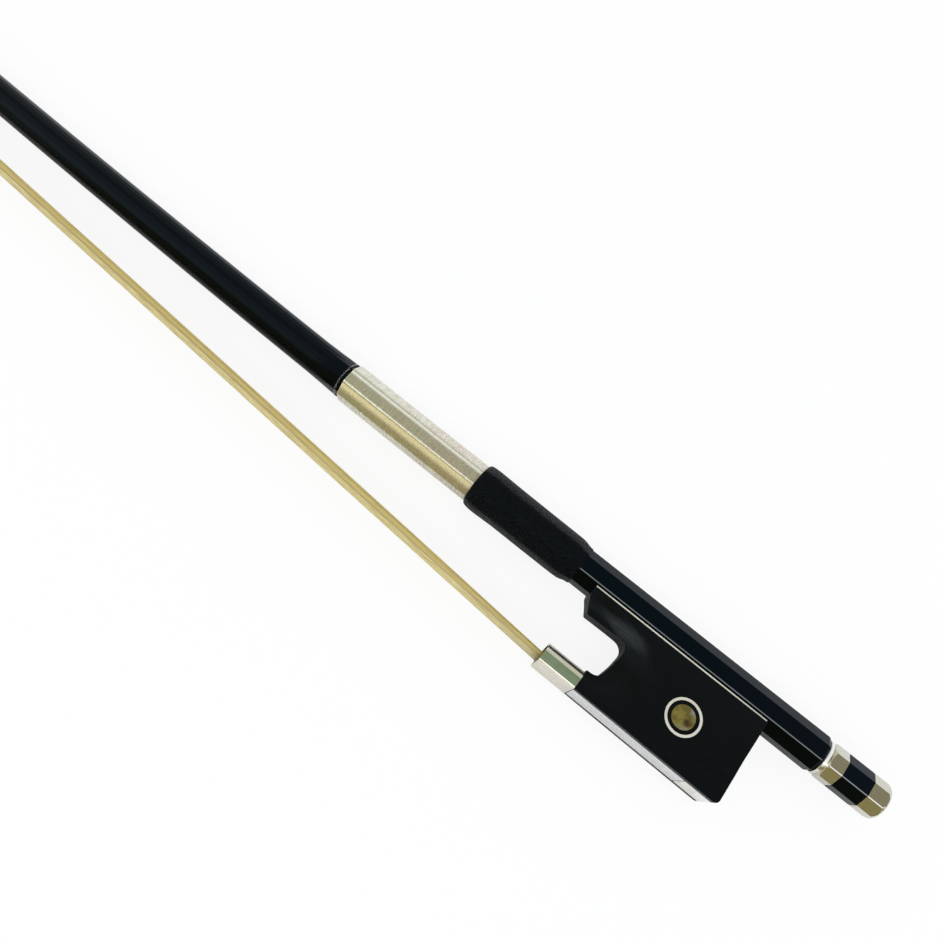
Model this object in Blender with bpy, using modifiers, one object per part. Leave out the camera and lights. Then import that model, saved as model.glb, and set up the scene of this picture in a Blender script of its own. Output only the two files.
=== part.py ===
"""A full-size violin bow, lying on its side as it does on a table.

The stick's handle runs along X with the button at +X. The hair lies on the -Y side of the stick.
Z is up, square to the plane that holds the stick and the hair.
Lengths below are in millimetres, and every mesh is scaled to metres as it is made.
The working origin is the centre of the stick's wooden end face, under the button.
"""

import math

import bmesh
import bpy
import numpy as np
from mathutils import Matrix, Vector

MM = 0.001

# Stick
STICK_FLATS = 8.7  # across the flats of the octagonal handle
HANDLE_ROUND = 9.0  # diameter just past the octagon
HEAD_NECK = 5.3  # diameter behind the head
OCTAGON_TO = -138.0  # the facets fade into the round from here
ROUND_FROM = -148.0
SHAFT_TO = -707.0
CAMBER_START = -100.0
CAMBER_BEND = 9.0e-5
CAMBER_EASE = 9.0e-9
TAPER_POWER = 1.6
SHAFT_STEP = 13.0
SIDES = 24

# Hair
HAIR_AT_FROG = -22.84  # height of the ribbon's middle at x = -60
HAIR_SLOPE = 0.0522
HAIR_THICK = 1.0
HAIR_WIDE_FROG = 10.0
HAIR_WIDE_HEAD = 7.4
HAIR_EXIT_X = -708.5  # where the hair leaves the head
HAIR_END_X = -56.0  # under the spread wedge
HAIR_RIDGES = 16
RIDGE_DEPTH = 0.12

# Head
HEAD_RISE = 0.55  # from the ribbon's middle to the plate's face
HEAD_PLATE = 1.2
HEAD_LINER = 0.5
BEAK_FROM = -12.0
BEAK_RADIUS = 27.0
FACE_REAR = 4.2
FACE_TIP = -20.8

# Winding and thumb grip
WIRE_TURNS = 24
WIRE_PITCH = 1.8
WIRE_WIDE = 1.34
WIRE_THICK = 0.3
WIRE_FROM = -137.7
WIRE_CORNER = 4.93  # from the axis to the middle of the strip on the stick's ridges
GRIP_FROM = -97.4
GRIP_TO = -66.2

# Frog
FROG_TOP = -2.85
FROG_BASE = -24.45
FROG_FRONT = -61.4
HEEL_X = -14.1
FROG_TOP_HALF = 4.7
FROG_BASE_HALF = 6.4
FROG_SWELL = 2.2
FERRULE_REAR = -51.5
FERRULE_FRONT = -61.3
FERRULE_TOP = -19.25
FERRULE_BASE = -24.55
FERRULE_HALF = 6.25
FERRULE_WALL = 0.45
UNDERSLIDE_GAP = 0.15
UNDERSLIDE_THICK = 0.45
SCOOP_X = -55.0
SCOOP_Y = -11.9
SCOOP_LONG = 14.6
SCOOP_HIGH = 8.6
SCOOP_LEAN = math.radians(-15.0)
SLIDE_HALF = 4.3
SLIDE_REAR = -21.6
EYE_X = -29.5
EYE_Y = -14.2
EYE_RING = 4.25
EYE_RING_WALL = 0.6
EYE_PEARL = 2.75

# Screw and button
SCREW_RADIUS = 1.55
SCREW_TIP_RADIUS = 1.1
EYELET_X = -31.6
MORTISE_FROM = -39.0
MORTISE_TO = -21.0
BUTTON_FLATS = 8.42
FRONT_RING_TO = 4.98
CORE_TO = 11.47
BUTTON_END = 16.65
FIT = 0.1  # clearance between neighbouring pieces

# Rows of axes: a section drawn in (Y, Z) and run along X, and a plan drawn in (Z, X) and run along Y
ACROSS = Matrix(((0, 0, 1, 0), (1, 0, 0, 0), (0, 1, 0, 0), (0, 0, 0, 1)))
PLAN = Matrix(((0, 1, 0, 0), (0, 0, 1, 0), (1, 0, 0, 0), (0, 0, 0, 1)))
SIDE = Matrix.Identity(4)

for old in list(bpy.data.objects):
    bpy.data.objects.remove(old, do_unlink=True)
for old in list(bpy.data.collections):
    bpy.data.collections.remove(old)

parts = bpy.data.collections.new("violin_bow")
helpers = bpy.data.collections.new("cutters")
bpy.context.scene.collection.children.link(parts)
bpy.context.scene.collection.children.link(helpers)


def finish(name, colour, roughness, metallic=0.0):
    made = bpy.data.materials.new(name)
    made.use_nodes = True
    shader = made.node_tree.nodes["Principled BSDF"]
    shader.inputs["Base Color"].default_value = (*colour, 1.0)
    shader.inputs["Roughness"].default_value = roughness
    shader.inputs["Metallic"].default_value = metallic
    return made


LACQUER = finish("black_lacquer", (0.010, 0.012, 0.017), 0.22)
EBONY = finish("ebony", (0.012, 0.012, 0.013), 0.38)
SILVER = finish("nickel_silver", (0.62, 0.60, 0.52), 0.22, 1.0)
BRASS = finish("brass", (0.72, 0.53, 0.22), 0.3, 1.0)
STEEL = finish("steel", (0.45, 0.45, 0.46), 0.35, 1.0)
PEARL = finish("pearl", (0.70, 0.67, 0.62), 0.2)
EYE_SHELL = finish("golden_pearl", (0.33, 0.27, 0.07), 0.2)
LEATHER = finish("black_leather", (0.012, 0.012, 0.014), 0.5)
HORSEHAIR = finish("horsehair", (0.68, 0.58, 0.33), 0.45)
BONE = finish("bone", (0.83, 0.78, 0.66), 0.35)
SOFTWOOD = finish("softwood", (0.55, 0.40, 0.22), 0.7)


def placed(mesh, name, matrix, collection):
    made = bpy.data.objects.new(name, mesh)
    collection.objects.link(made)
    made.matrix_world = matrix
    if collection is helpers:
        made.hide_render = True
        made.display_type = "WIRE"
    return made


def baked(source, name, collection):
    """A mesh object from a curve or a modified object, its loose caps welded."""
    bpy.context.view_layer.update()
    graph = bpy.context.evaluated_depsgraph_get()
    mesh = bpy.data.meshes.new_from_object(source.evaluated_get(graph))
    matrix = source.matrix_world.copy()
    bpy.data.objects.remove(source, do_unlink=True)
    work = bmesh.new()
    work.from_mesh(mesh)
    bmesh.ops.remove_doubles(work, verts=work.verts, dist=0.000002)
    bmesh.ops.recalc_face_normals(work, faces=work.faces)
    work.to_mesh(mesh)
    work.free()
    mesh.name = name
    return placed(mesh, name, matrix, collection)


def arc(x, y, radius, start, end, steps):
    turns = np.radians(np.linspace(start, end, steps + 1))
    return [(x + radius * math.cos(t), y + radius * math.sin(t)) for t in turns]


def rounded(corners, steps=5):
    """The outline through (x, y, radius) corners, each one turned on its own radius."""
    outline = []
    for i, (x, y, radius) in enumerate(corners):
        here = Vector((x, y))
        back = (Vector(corners[i - 1][:2]) - here).normalized()
        on = (Vector(corners[(i + 1) % len(corners)][:2]) - here).normalized()
        half = back.angle(on) / 2
        if not radius:
            outline.append((x, y))
            continue
        centre = here + (back + on).normalized() * radius / math.sin(half)
        first = here + back * radius / math.tan(half) - centre
        last = here + on * radius / math.tan(half) - centre
        for k in range(steps + 1):
            outline.append(tuple(centre + radius * first.slerp(last, k / steps)))
    return outline


def mirrored(half):
    """A closed outline from one side of it, its second coordinate flipped for the other side."""
    return half + [(x, -y) for x, y in reversed(half) if y > 0.000001]


def outline_solid(name, outlines, low, high, turn=SIDE, collection=helpers):
    """A flat outline run from low to high along its own third axis."""
    curve = bpy.data.curves.new(name, "CURVE")
    curve.dimensions = "2D"
    curve.fill_mode = "BOTH"
    curve.extrude = (high - low) / 2 * MM
    for outline in outlines:
        spline = curve.splines.new("POLY")
        spline.points.add(len(outline) - 1)
        spline.use_cyclic_u = True
        for point, (x, y) in zip(spline.points, outline):
            point.co = (x * MM, y * MM, 0, 1)
    guide = bpy.data.objects.new(name, curve)
    helpers.objects.link(guide)
    guide.matrix_world = turn @ Matrix.Translation((0, 0, (low + high) / 2 * MM))
    return baked(guide, name, collection)


def turned(name, profile, turn=ACROSS, collection=helpers, steps=SIDES):
    """A profile of (radius, height) points, from the top down its outer side, spun about its own Z."""
    mesh = bpy.data.meshes.new(name)
    points = [(radius * MM, 0, height * MM) for radius, height in profile]
    mesh.from_pydata(points, [(i, i + 1) for i in range(len(points) - 1)], [])
    made = bpy.data.objects.new(name, mesh)
    helpers.objects.link(made)
    made.matrix_world = turn
    screw = made.modifiers.new("spin", "SCREW")
    screw.steps = screw.render_steps = steps
    screw.use_merge_vertices = True
    screw.merge_threshold = 0.000002
    return baked(made, name, collection)


def rod(name, radius, low, high, turn=ACROSS, collection=helpers, steps=SIDES):
    return turned(name, [(0, high), (radius, high), (radius, low), (0, low)], turn, collection, steps)


def block(name, low, high, turn=SIDE, collection=helpers):
    """A box between two opposite corners."""
    work = bmesh.new()
    bmesh.ops.create_cube(work, size=1)
    low, high = Vector(low) * MM, Vector(high) * MM
    bmesh.ops.scale(work, vec=high - low, verts=work.verts)
    bmesh.ops.translate(work, vec=(low + high) / 2, verts=work.verts)
    mesh = bpy.data.meshes.new(name)
    work.to_mesh(mesh)
    work.free()
    return placed(mesh, name, turn, collection)


def loft(name, rings, collection=parts):
    """A solid through rings of equal point counts, in order from +X to -X."""
    work = bmesh.new()
    rows = [[work.verts.new(Vector(p) * MM) for p in ring] for ring in rings]
    count = len(rows[0])
    for one, two in zip(rows, rows[1:]):
        for k in range(count):
            work.faces.new((one[k], one[(k + 1) % count], two[(k + 1) % count], two[k]))
    work.faces.new(rows[0])
    work.faces.new(rows[-1])
    bmesh.ops.recalc_face_normals(work, faces=work.faces)
    mesh = bpy.data.meshes.new(name)
    work.to_mesh(mesh)
    work.free()
    return placed(mesh, name, SIDE, collection)


def combine(target, other, operation):
    step = target.modifiers.new(other.name, "BOOLEAN")
    step.operation = operation
    step.object = other
    step.solver = "EXACT"


def cut(target, *others):
    for other in others:
        combine(target, other, "DIFFERENCE")


def keep(target, *others):
    for other in others:
        combine(target, other, "INTERSECT")


def join(target, *others):
    for other in others:
        combine(target, other, "UNION")


def as_part(shape, name, surface, sharp=32):
    """Bakes the cuts, then gives the piece its material and shading, with edges sharp past an angle."""
    done = baked(shape, name, parts)
    done.data.materials.clear()
    done.data.materials.append(surface)
    done.data.shade_smooth()
    done.data.set_sharp_from_angle(angle=math.radians(sharp))
    return done


def smoothstep(t):
    t = min(max(t, 0.0), 1.0)
    return t * t * (3 - 2 * t)


def axis_height(x):
    """How far the cambered centre line has left the handle's own line, away from the hair."""
    t = max(CAMBER_START - x, 0.0)
    return CAMBER_BEND * t**2 - CAMBER_EASE * t**3


def axis_slope(x):
    t = max(CAMBER_START - x, 0.0)
    return -(2 * CAMBER_BEND * t - 3 * CAMBER_EASE * t**2)


def hair_height(x):
    return HAIR_AT_FROG + HAIR_SLOPE * (-60.0 - x)


def octagon_radius(angle, flats):
    """From the axis to an octagon's edge, with flats facing 0, 45, 90 degrees and so on."""
    off = (angle + 22.5) % 45.0 - 22.5
    return flats / 2 / math.cos(math.radians(off))


def shaft_diameter(x):
    run = min(max((OCTAGON_TO - x) / (OCTAGON_TO - SHAFT_TO), 0.0), 1.0)
    return HANDLE_ROUND - (HANDLE_ROUND - HEAD_NECK) * run**TAPER_POWER


def stick_ring(x, scale=1.0):
    roundness = smoothstep((OCTAGON_TO - x) / (OCTAGON_TO - ROUND_FROM))
    tilt = math.atan(axis_slope(x))
    ring = []
    for k in range(SIDES):
        angle = 7.5 + 15.0 * k
        radius = octagon_radius(angle, STICK_FLATS) * (1 - roundness)
        radius = (radius + shaft_diameter(x) / 2 * roundness) * scale
        up = radius * math.cos(math.radians(angle))
        z = radius * math.sin(math.radians(angle))
        ring.append((x - up * math.sin(tilt), axis_height(x) + up * math.cos(tilt), z))
    return ring


def octagon(flats):
    corner = flats / 2 / math.cos(math.radians(22.5))
    return arc(0, 0, corner, 22.5, 337.5, 7)


def prism(name, flats, low, high, collection=helpers):
    """An octagonal bar along the handle, its flats in line with the stick's."""
    return outline_solid(name, [octagon(flats)], low, high, ACROSS, collection)


# Head, in its own frame: the hair leaves at the origin, +x runs back to the button, +y to the stick
HEAD = Matrix.Translation(
    (HAIR_EXIT_X * MM, (hair_height(HAIR_EXIT_X) + HEAD_RISE) * MM, 0)
) @ Matrix.Rotation(-math.atan(HAIR_SLOPE), 4, "Z")


def face_rise(x):
    """The beak sweeps up in front of the flat of the head's face."""
    ahead = max(BEAK_FROM - x, 0.0)
    return ahead**2 / (2 * BEAK_RADIUS)


def face_line(rise, steps=6):
    """Points along the face from its rear to its tip, raised by a thickness."""
    front = [BEAK_FROM + (FACE_TIP - BEAK_FROM) * k / steps for k in range(steps + 1)]
    return [(x, face_rise(x) + rise) for x in [FACE_REAR] + front]


WOOD_RISE = HEAD_PLATE + HEAD_LINER + 2 * FIT
head_back = rounded(
    [
        (2.6, 9.0, 12.0),
        (5.4, 17.0, 4.0),
        (12.4, 18.7, 0),
        (12.4, 19.3, 0),
        (8.6, 21.0, 8.0),
        (0.0, 23.2, 12.0),
        (-9.6, 21.6, 6.5),
        (-15.2, 9.5, 12.0),
    ]
    + [(x, y, 0) for x, y in reversed(face_line(WOOD_RISE))],
    8,
)
head_flank = rounded(
    [
        (1.3, -22.6, 0),
        (3.6, -18.0, 8.0),
        (4.9, -10.0, 16.0),
        (5.3, -1.0, 16.0),
        (4.7, 5.6, 9.0),
        (1.7, 9.4, 6.0),
        (0.3, 12.6, 0),
    ],
    5,
)
head_plan = head_flank + [(-z, x) for z, x in reversed(head_flank)]
head_section = rounded(
    [(1.0, 5.3, 0), (5.0, 5.1, 8.0), (11.0, 3.9, 20.0), (17.5, 2.8, 20.0), (21.4, 1.9, 2.0), (23.6, 0.4, 0)], 4
)


def head_piece(name, outline, half_width):
    return outline_solid(name, [outline], -half_width, half_width, HEAD)


def strip(rise, thick):
    low = face_line(rise)
    return low + [(x, y + thick) for x, y in reversed(low)]


head_wood = head_piece("head_outline", head_back, 6.0)
plan_cut = outline_solid("head_plan", [head_plan], -3.0, 30.0, HEAD @ PLAN)
section_cut = outline_solid("head_section", [mirrored(head_section)], -25.0, 19.0, HEAD @ ACROSS)
keep(head_wood, plan_cut, section_cut)

mortise_side = [(0.0, -2.0), (0.0, 10.6), (-8.6, 10.6), (-10.9, -2.0)]
head_mortise = head_piece("head_mortise", mortise_side, 3.9)

# Stick, with its octagonal handle, cambered shaft and head
stations = [-0.5, -50.0] + [CAMBER_START - 12.0 * k for k in range(4)]
stations += [OCTAGON_TO, OCTAGON_TO - 3.0, OCTAGON_TO - 6.0, ROUND_FROM]
shaft_steps = round((ROUND_FROM - SHAFT_TO) / SHAFT_STEP)
stations += [
    ROUND_FROM + (SHAFT_TO - ROUND_FROM) * (k + 1) / shaft_steps for k in range(shaft_steps)
]
stick = loft("stick_shaft", [stick_ring(0.0, 0.95)] + [stick_ring(x) for x in stations], helpers)
nipple = rod("nipple", 2.7, -1.0, 1.3)
screw_bore = rod("screw_bore", SCREW_RADIUS + 0.3, MORTISE_TO - 1.0, 3.0)
pilot_bore = rod("pilot_bore", SCREW_TIP_RADIUS + 0.2, -54.0, MORTISE_FROM + 1.0)
stick_mortise = block("stick_mortise", (MORTISE_FROM, -6.0, -2.2), (MORTISE_TO, 2.6, 2.2))
join(stick, head_wood, nipple)
cut(stick, head_mortise, screw_bore, pilot_bore, stick_mortise)
as_part(stick, "stick", LACQUER, 28)

# Head plate and its dark liner, both let over the mortise
for name, rise, thick, surface in (
    ("head_plate", 0.0, HEAD_PLATE, BONE),
    ("head_plate_liner", HEAD_PLATE + FIT, HEAD_LINER, EBONY),
):
    plate = head_piece(name + "_side", strip(rise, thick), 6.0)
    keep(plate, plan_cut)
    cut(plate, head_mortise)
    as_part(plate, name, surface)

plug_side = [(-1.55, 0.25), (-1.55, 5.9), (-9.0, 5.9), (-10.2, 0.25)]
as_part(head_piece("plug", plug_side, 3.7), "head_plug", SOFTWOOD)
knot_side = rounded(
    [
        (-0.25, 0.05, 0),
        (-0.25, 8.8, 1.4),
        (-2.6, 10.2, 1.0),
        (-6.6, 10.2, 1.7),
        (-6.6, 6.5, 1.7),
        (-2.6, 6.5, 0),
        (-1.2, 6.3, 0.2),
        (-1.2, 0.05, 0),
    ]
)
as_part(head_piece("knot", knot_side, 3.7), "hair_knot_head", HORSEHAIR)


# Hair, a flat ribbon with fine lengthwise ridges
def hair_ring(x, wide):
    middle = hair_height(x)
    steps = 2 * HAIR_RIDGES
    across = [wide * (k / steps - 0.5) for k in range(steps + 1)]
    edge = [HAIR_THICK / 2 - RIDGE_DEPTH * (k % 2) for k in range(steps + 1)]
    edge[0] = edge[-1] = HAIR_THICK / 4
    upper = [(x, middle + e, z) for e, z in zip(edge, across)]
    lower = [(x, middle - e, z) for e, z in zip(edge, across)]
    return upper + lower[::-1]


hair = loft(
    "hair_ribbon",
    [hair_ring(HAIR_END_X, HAIR_WIDE_FROG), hair_ring(HAIR_EXIT_X - 0.9, HAIR_WIDE_HEAD)],
    helpers,
)
as_part(hair, "hair", HORSEHAIR, 60)

# Wire winding over the octagonal handle, each turn standing for a band of the fine wire
strip_curve = bpy.data.curves.new("wire_section", "CURVE")
strip_curve.dimensions = "2D"
strip_outline = strip_curve.splines.new("POLY")
half_thick, half_wide = WIRE_THICK / 2, WIRE_WIDE / 2
nip = 0.1
strip_corners = [(-half_thick + nip, half_wide), (half_thick - nip, half_wide)]
strip_corners += [(half_thick, half_wide - nip), (half_thick, -half_wide + nip)]
strip_corners += [(-x, -y) for x, y in strip_corners]
strip_outline.points.add(len(strip_corners) - 1)
strip_outline.use_cyclic_u = True
for point, (x, y) in zip(strip_outline.points, strip_corners):
    point.co = (x * MM, y * MM, 0, 1)
strip_guide = placed(strip_curve, "wire_section", SIDE, helpers)

wire_path = bpy.data.curves.new("wire_path", "CURVE")
wire_path.dimensions = "3D"
wire_path.twist_mode = "Z_UP"
wire_path.bevel_mode = "OBJECT"
wire_path.bevel_object = strip_guide
wire_path.use_fill_caps = True
wire_line = wire_path.splines.new("POLY")
wire_points = []
for k in range(WIRE_TURNS * 8 + 1):
    along = WIRE_FROM + WIRE_PITCH * k / 8
    corner = math.radians(22.5 + 45.0 * k)
    up = axis_height(along) + WIRE_CORNER * math.cos(corner)
    wire_points.append((up, WIRE_CORNER * math.sin(corner), along))
wire_line.points.add(len(wire_points) - 1)
for point, co in zip(wire_line.points, wire_points):
    point.co = (*(Vector(co) * MM), 1)
wire = placed(wire_path, "wire_path", ACROSS, helpers)
wire = as_part(wire, "wire_lapping", SILVER, 40)


def least_gap(points, count):
    """The smallest distance between rings of points that lie one turn apart on a winding, in mm."""
    rings = np.array(points).reshape(-1, count, 3) / MM
    least = math.inf
    for k in range(len(rings) - 8):
        later = rings[k + 7 : k + 10].reshape(-1, 3)
        apart = np.linalg.norm(rings[k][:, None] - later[None], axis=2)
        least = min(least, apart.min())
    return least


ring_size = len(strip_corners)
print("wire turns", WIRE_TURNS, "vertices", len(wire.data.vertices))
print("least gap of the winding to itself, mm:", end=" ")
print(round(least_gap([v.co for v in wire.data.vertices][: ring_size * len(wire_points)], ring_size), 3))


# Leather thumb grip, thicker where it laps over the winding and pared thin in front of the frog
def grip_ring(x, corner):
    ring = []
    for k in range(SIDES):
        angle = 7.5 + 15.0 * k
        soft = 0.6 * octagon_radius(angle, 2 * math.cos(math.radians(22.5))) + 0.4 * 0.985
        up = corner * soft * math.cos(math.radians(angle))
        ring.append((x, up, corner * soft * math.sin(math.radians(angle))))
    return ring


grip_steps = (
    (GRIP_TO, 4.99),
    (GRIP_TO - 0.9, 5.15),
    (GRIP_TO - 1.2, 5.4),
    (GRIP_TO - 2.6, 5.66),
    (-80.0, 5.76),
    (-89.0, 5.82),
    (-92.0, 6.0),
    (-95.0, 6.02),
    (GRIP_FROM + 0.9, 5.92),
    (GRIP_FROM + 0.3, 5.68),
    (GRIP_FROM, 5.36),
)
grip = loft("grip_outside", [grip_ring(x, r) for x, r in grip_steps], helpers)
grip_bore = prism("grip_bore", STICK_FLATS + 2 * FIT, -110.0, -50.0)
grip_mouth = prism("grip_mouth", 9.54, -110.0, -92.9)
cut(grip, grip_bore, grip_mouth)
as_part(grip, "thumb_leather", LEATHER, 40)


# Frog: a side outline kept inside a swelling cross-section, then hollowed, channelled and let in
def frog_half(y):
    """Half of the frog's width at a height, narrow at the stick and full at the underside."""
    share = (y - FROG_BASE) / (FROG_TOP - FROG_BASE)
    return FROG_BASE_HALF - (FROG_BASE_HALF - FROG_TOP_HALF) * share**FROG_SWELL


frog_side = rounded(
    [
        (FROG_FRONT + 0.3, FROG_TOP, 0),
        (FROG_FRONT + 0.5, -4.7, 3.0),
        (-58.7, -8.6, 0.6),
        (-46.9, -8.35, 2.4),
        (-47.5, -14.2, 16.0),
        (-48.6, -18.9, 2.3),
        (FERRULE_REAR, -19.0, 0),
        (FERRULE_REAR, FERRULE_TOP - 0.6, 0),
        (FERRULE_FRONT + 1.0, FERRULE_TOP - 0.6, 0.3),
        (FERRULE_FRONT + 1.0, -20.95, 0.3),
        (FERRULE_REAR, -20.95, 0),
        (FERRULE_REAR, FROG_BASE, 0),
        (HEEL_X + 0.1, FROG_BASE, 1.2),
        (HEEL_X - 0.15, -13.5, 60.0),
        (HEEL_X + 0.1, FROG_TOP, 0),
    ]
)
section_steps = 9
frog_edge = [FROG_TOP + (FROG_BASE - FROG_TOP) * k / section_steps for k in range(section_steps + 1)]
frog_section = mirrored([(y, frog_half(y)) for y in frog_edge])

frog = outline_solid("frog_outline", [frog_side], -8.0, 8.0)
keep(frog, outline_solid("frog_section", [frog_section], -65.0, -10.0, ACROSS))
softened = frog.modifiers.new("soft_edges", "BEVEL")
softened.width = 0.3 * MM
softened.segments = 2
softened.limit_method = "ANGLE"
softened.angle_limit = math.radians(40)
softened.use_clamp_overlap = True


def ferrule_arch(inset, steps=12):
    """The ferrule's rounded back and sides, drawn in (Y, Z) from its base up and over."""
    half = FERRULE_HALF - inset
    base = FERRULE_BASE + inset
    waist = -22.4
    top = FERRULE_TOP - inset
    outline = [(base, half - 0.5), (base + 0.15, half - 0.25), (base + 0.5, half - 0.08)]
    for k in range(steps + 1):
        t = math.radians(90.0 * k / steps)
        y = waist + (top - waist) * math.sin(t) ** (2 / 2.3)
        outline.append((y, half * max(math.cos(t), 0.0) ** (2 / 2.3)))
    return outline[:-1] + [(top, 0.0)] + [(y, -z) for y, z in reversed(outline[:-1])]


tenon_space = outline_solid("tenon_space", [[(-30, -9), (-30, 9), (-17, 9), (-17, -9)]], -63.0, FERRULE_REAR, ACROSS)
tenon_core = outline_solid("tenon_core", [ferrule_arch(FERRULE_WALL + FIT)], -64.0, -50.0, ACROSS)
cut(tenon_space, tenon_core)
tenon_space = baked(tenon_space, "tenon_trim", helpers)

channel = prism("stick_channel", STICK_FLATS + 2 * (UNDERSLIDE_GAP + UNDERSLIDE_THICK + FIT), -70.0, -5.0)


def scoop(name, side):
    """The hollow carved into each cheek round the throat, which leaves the throat's rim thin."""
    floor = [(1.7, 6.6), (1.5, 6.3), (1.3, 5.98), (1.15, 5.68), (1.03, 5.3), (0.94, 4.8)]
    floor += [(0.85, 4.15), (0.75, 3.4), (0.65, 2.8), (0.55, 2.42), (0.45, 2.25), (0.0, 2.2)]
    profile = [(0.0, 9.0), (SCOOP_LONG * 1.7, 9.0)] + [(SCOOP_LONG * r, z) for r, z in floor]
    lean = Matrix.Rotation(side * SCOOP_LEAN, 4, "Z")
    over = Matrix.Identity(4) if side > 0 else Matrix.Rotation(math.pi, 4, "X")
    spot = Matrix.Translation((SCOOP_X * MM, SCOOP_Y * MM, 0))
    made = turned(name, profile, spot @ over @ lean, steps=64)
    made.data.transform(Matrix.Diagonal((1.0, SCOOP_HIGH / SCOOP_LONG, 1.0, 1.0)))
    return made


def facing(side, depth):
    """The frame of an inlay in a cheek of the frog: its +Z points out, its origin lies on the surface."""
    near = (frog_half(EYE_Y - 1.0) - frog_half(EYE_Y + 1.0)) / 2
    lean = math.atan(near)
    turn = Matrix.Rotation(-lean, 4, "X") if side > 0 else Matrix.Rotation(math.pi + lean, 4, "X")
    spot = Matrix.Translation(Vector((EYE_X, EYE_Y, side * frog_half(EYE_Y))) * MM)
    return spot @ turn @ Matrix.Translation((0, 0, depth * MM))


def ring_profile(outer, inner, high, low):
    return [(inner, high), (outer, high), (outer, low), (inner, low), (inner, high)]


cheeks = (("left", 1), ("right", -1))
for word, side in cheeks:
    cut(frog, scoop("scoop_" + word, side))
    cut(frog, turned("eye_groove_" + word, ring_profile(EYE_RING + FIT, EYE_RING - EYE_RING_WALL - FIT, 1.0, -1.1), facing(side, 0), steps=48))
    cut(frog, rod("pearl_pocket_" + word, EYE_PEARL + FIT, -1.2, 1.0, facing(side, 0), steps=36))

slide_groove_section = mirrored([(-26.0, SLIDE_HALF + FIT), (FROG_BASE, SLIDE_HALF + FIT), (-22.35, SLIDE_HALF + 0.45)])
slide_groove = outline_solid("slide_groove", [slide_groove_section], -53.0, SLIDE_REAR + FIT, ACROSS)
hair_channel = block("hair_channel", (-53.0, -23.0, -4.0), (-43.0, -21.2, 4.0))
frog_mortise = block("frog_mortise", (-44.2, -24.0, -3.3), (-36.6, -15.6, 3.3))
eyelet_hole = rod("eyelet_hole", 1.9, -13.0, -3.0, Matrix.Translation((EYELET_X * MM, 0, 0)) @ PLAN)
screw_spots = (("front", -54.5), ("rear", -18.0))
cut(frog, tenon_space, channel, slide_groove, hair_channel, frog_mortise, eyelet_hole)
for word, x in screw_spots:
    cut(frog, rod("lining_screw_hole_" + word, 0.85, -7.6, -3.0, Matrix.Translation((x * MM, 0, 0)) @ PLAN, steps=16))

# Heel plate, an angle that wraps the frog's bottom rear corner, and the seat cut for it
heel_thick = 0.5
arch_y = -10.6


def heel_solid(name, grow, collection=helpers):
    """The heel plate's angle, or with grow the recess that takes it."""
    back = HEEL_X - 0.05
    side = rounded(
        [
            (SLIDE_REAR + 0.1 - grow, FROG_BASE - 2 * grow, 0),
            (back + 2 * grow, FROG_BASE - 2 * grow, 1.0 if not grow else 0),
            (back + 2 * grow, -5.0, 0),
            (back - heel_thick - grow, -5.0, 0),
            (back - heel_thick - grow, FROG_BASE + heel_thick + grow, 0.3),
            (SLIDE_REAR + 0.1 - grow, FROG_BASE + heel_thick + grow, 0),
        ]
    )
    made = outline_solid(name, [side], -6.0, 6.0, SIDE, collection)
    half = SLIDE_HALF + grow
    over = arc(arch_y, 0, half, 0, 90, 8)
    outline = mirrored([(-28.0, half)] + over[::-1])
    keep(made, outline_solid(name + "_arch", [outline], -24.0, -10.0, ACROSS))
    return made


cut(frog, baked(heel_solid("heel_seat", FIT), "heel_recess", helpers))
heel = heel_solid("heel_shape", 0.0)
pin_low = Matrix.Translation((-18.2 * MM, 0, 0)) @ PLAN
pin_back = Matrix.Translation((0, -12.0 * MM, 0)) @ ACROSS
pins = (("heel_pin_lower", pin_low, FROG_BASE, -22.3), ("heel_pin_upper", pin_back, -16.6, HEEL_X - 0.05))
for name, spot, low, high in pins:
    hole = rod(name + "_hole", 0.6, low - 1.0, high + 1.0, spot, steps=16)
    cut(heel, hole)
    cut(frog, hole)
    as_part(rod(name + "_shape", 0.5, low, high, spot, steps=16), name, SILVER)
as_part(heel, "heel_plate", SILVER)
as_part(frog, "frog_body", EBONY, 35)

# Metal lining between the frog and the three lower flats of the stick
lining = prism("lining_outside", STICK_FLATS + 2 * (UNDERSLIDE_GAP + UNDERSLIDE_THICK), -60.9, HEEL_X - 0.1)
cut(lining, prism("lining_inside", STICK_FLATS + 2 * UNDERSLIDE_GAP, -70.0, -5.0))
cut(lining, block("lining_top", (-70.0, FROG_TOP, -9.0), (-5.0, 9.0, 9.0)))
cut(lining, rod("lining_eyelet_hole", 2.0, -8.0, -3.0, Matrix.Translation((EYELET_X * MM, 0, 0)) @ PLAN))
for word, x in screw_spots:
    spot = Matrix.Translation((x * MM, 0, 0)) @ PLAN
    cut(lining, rod("lining_hole_" + word, 0.85, -6.0, -4.0, spot, steps=16))
    as_part(rod("lining_screw_shape_" + word, 0.75, -7.4, -4.65, spot, steps=16), "underslide_screw_" + word, BRASS)
as_part(lining, "underslide", SILVER)

# Eyelet: a block in the stick's mortise that the screw draws along, with a stem down into the frog
eyelet = block("eyelet_block", (EYELET_X - 3.0, -4.35, -1.95), (EYELET_X + 3.0, 2.25, 1.95))
crown = eyelet.modifiers.new("rounded", "BEVEL")
crown.width = 0.5 * MM
crown.segments = 2
eyelet_place = Matrix.Translation((EYELET_X * MM, 0, 0)) @ PLAN
join(eyelet, rod("eyelet_stem", 1.75, -12.8, -4.0, eyelet_place))
cut(eyelet, rod("eyelet_thread", SCREW_RADIUS + 0.08, EYELET_X - 5.0, EYELET_X + 5.0))
as_part(eyelet, "eyelet", BRASS)

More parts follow.
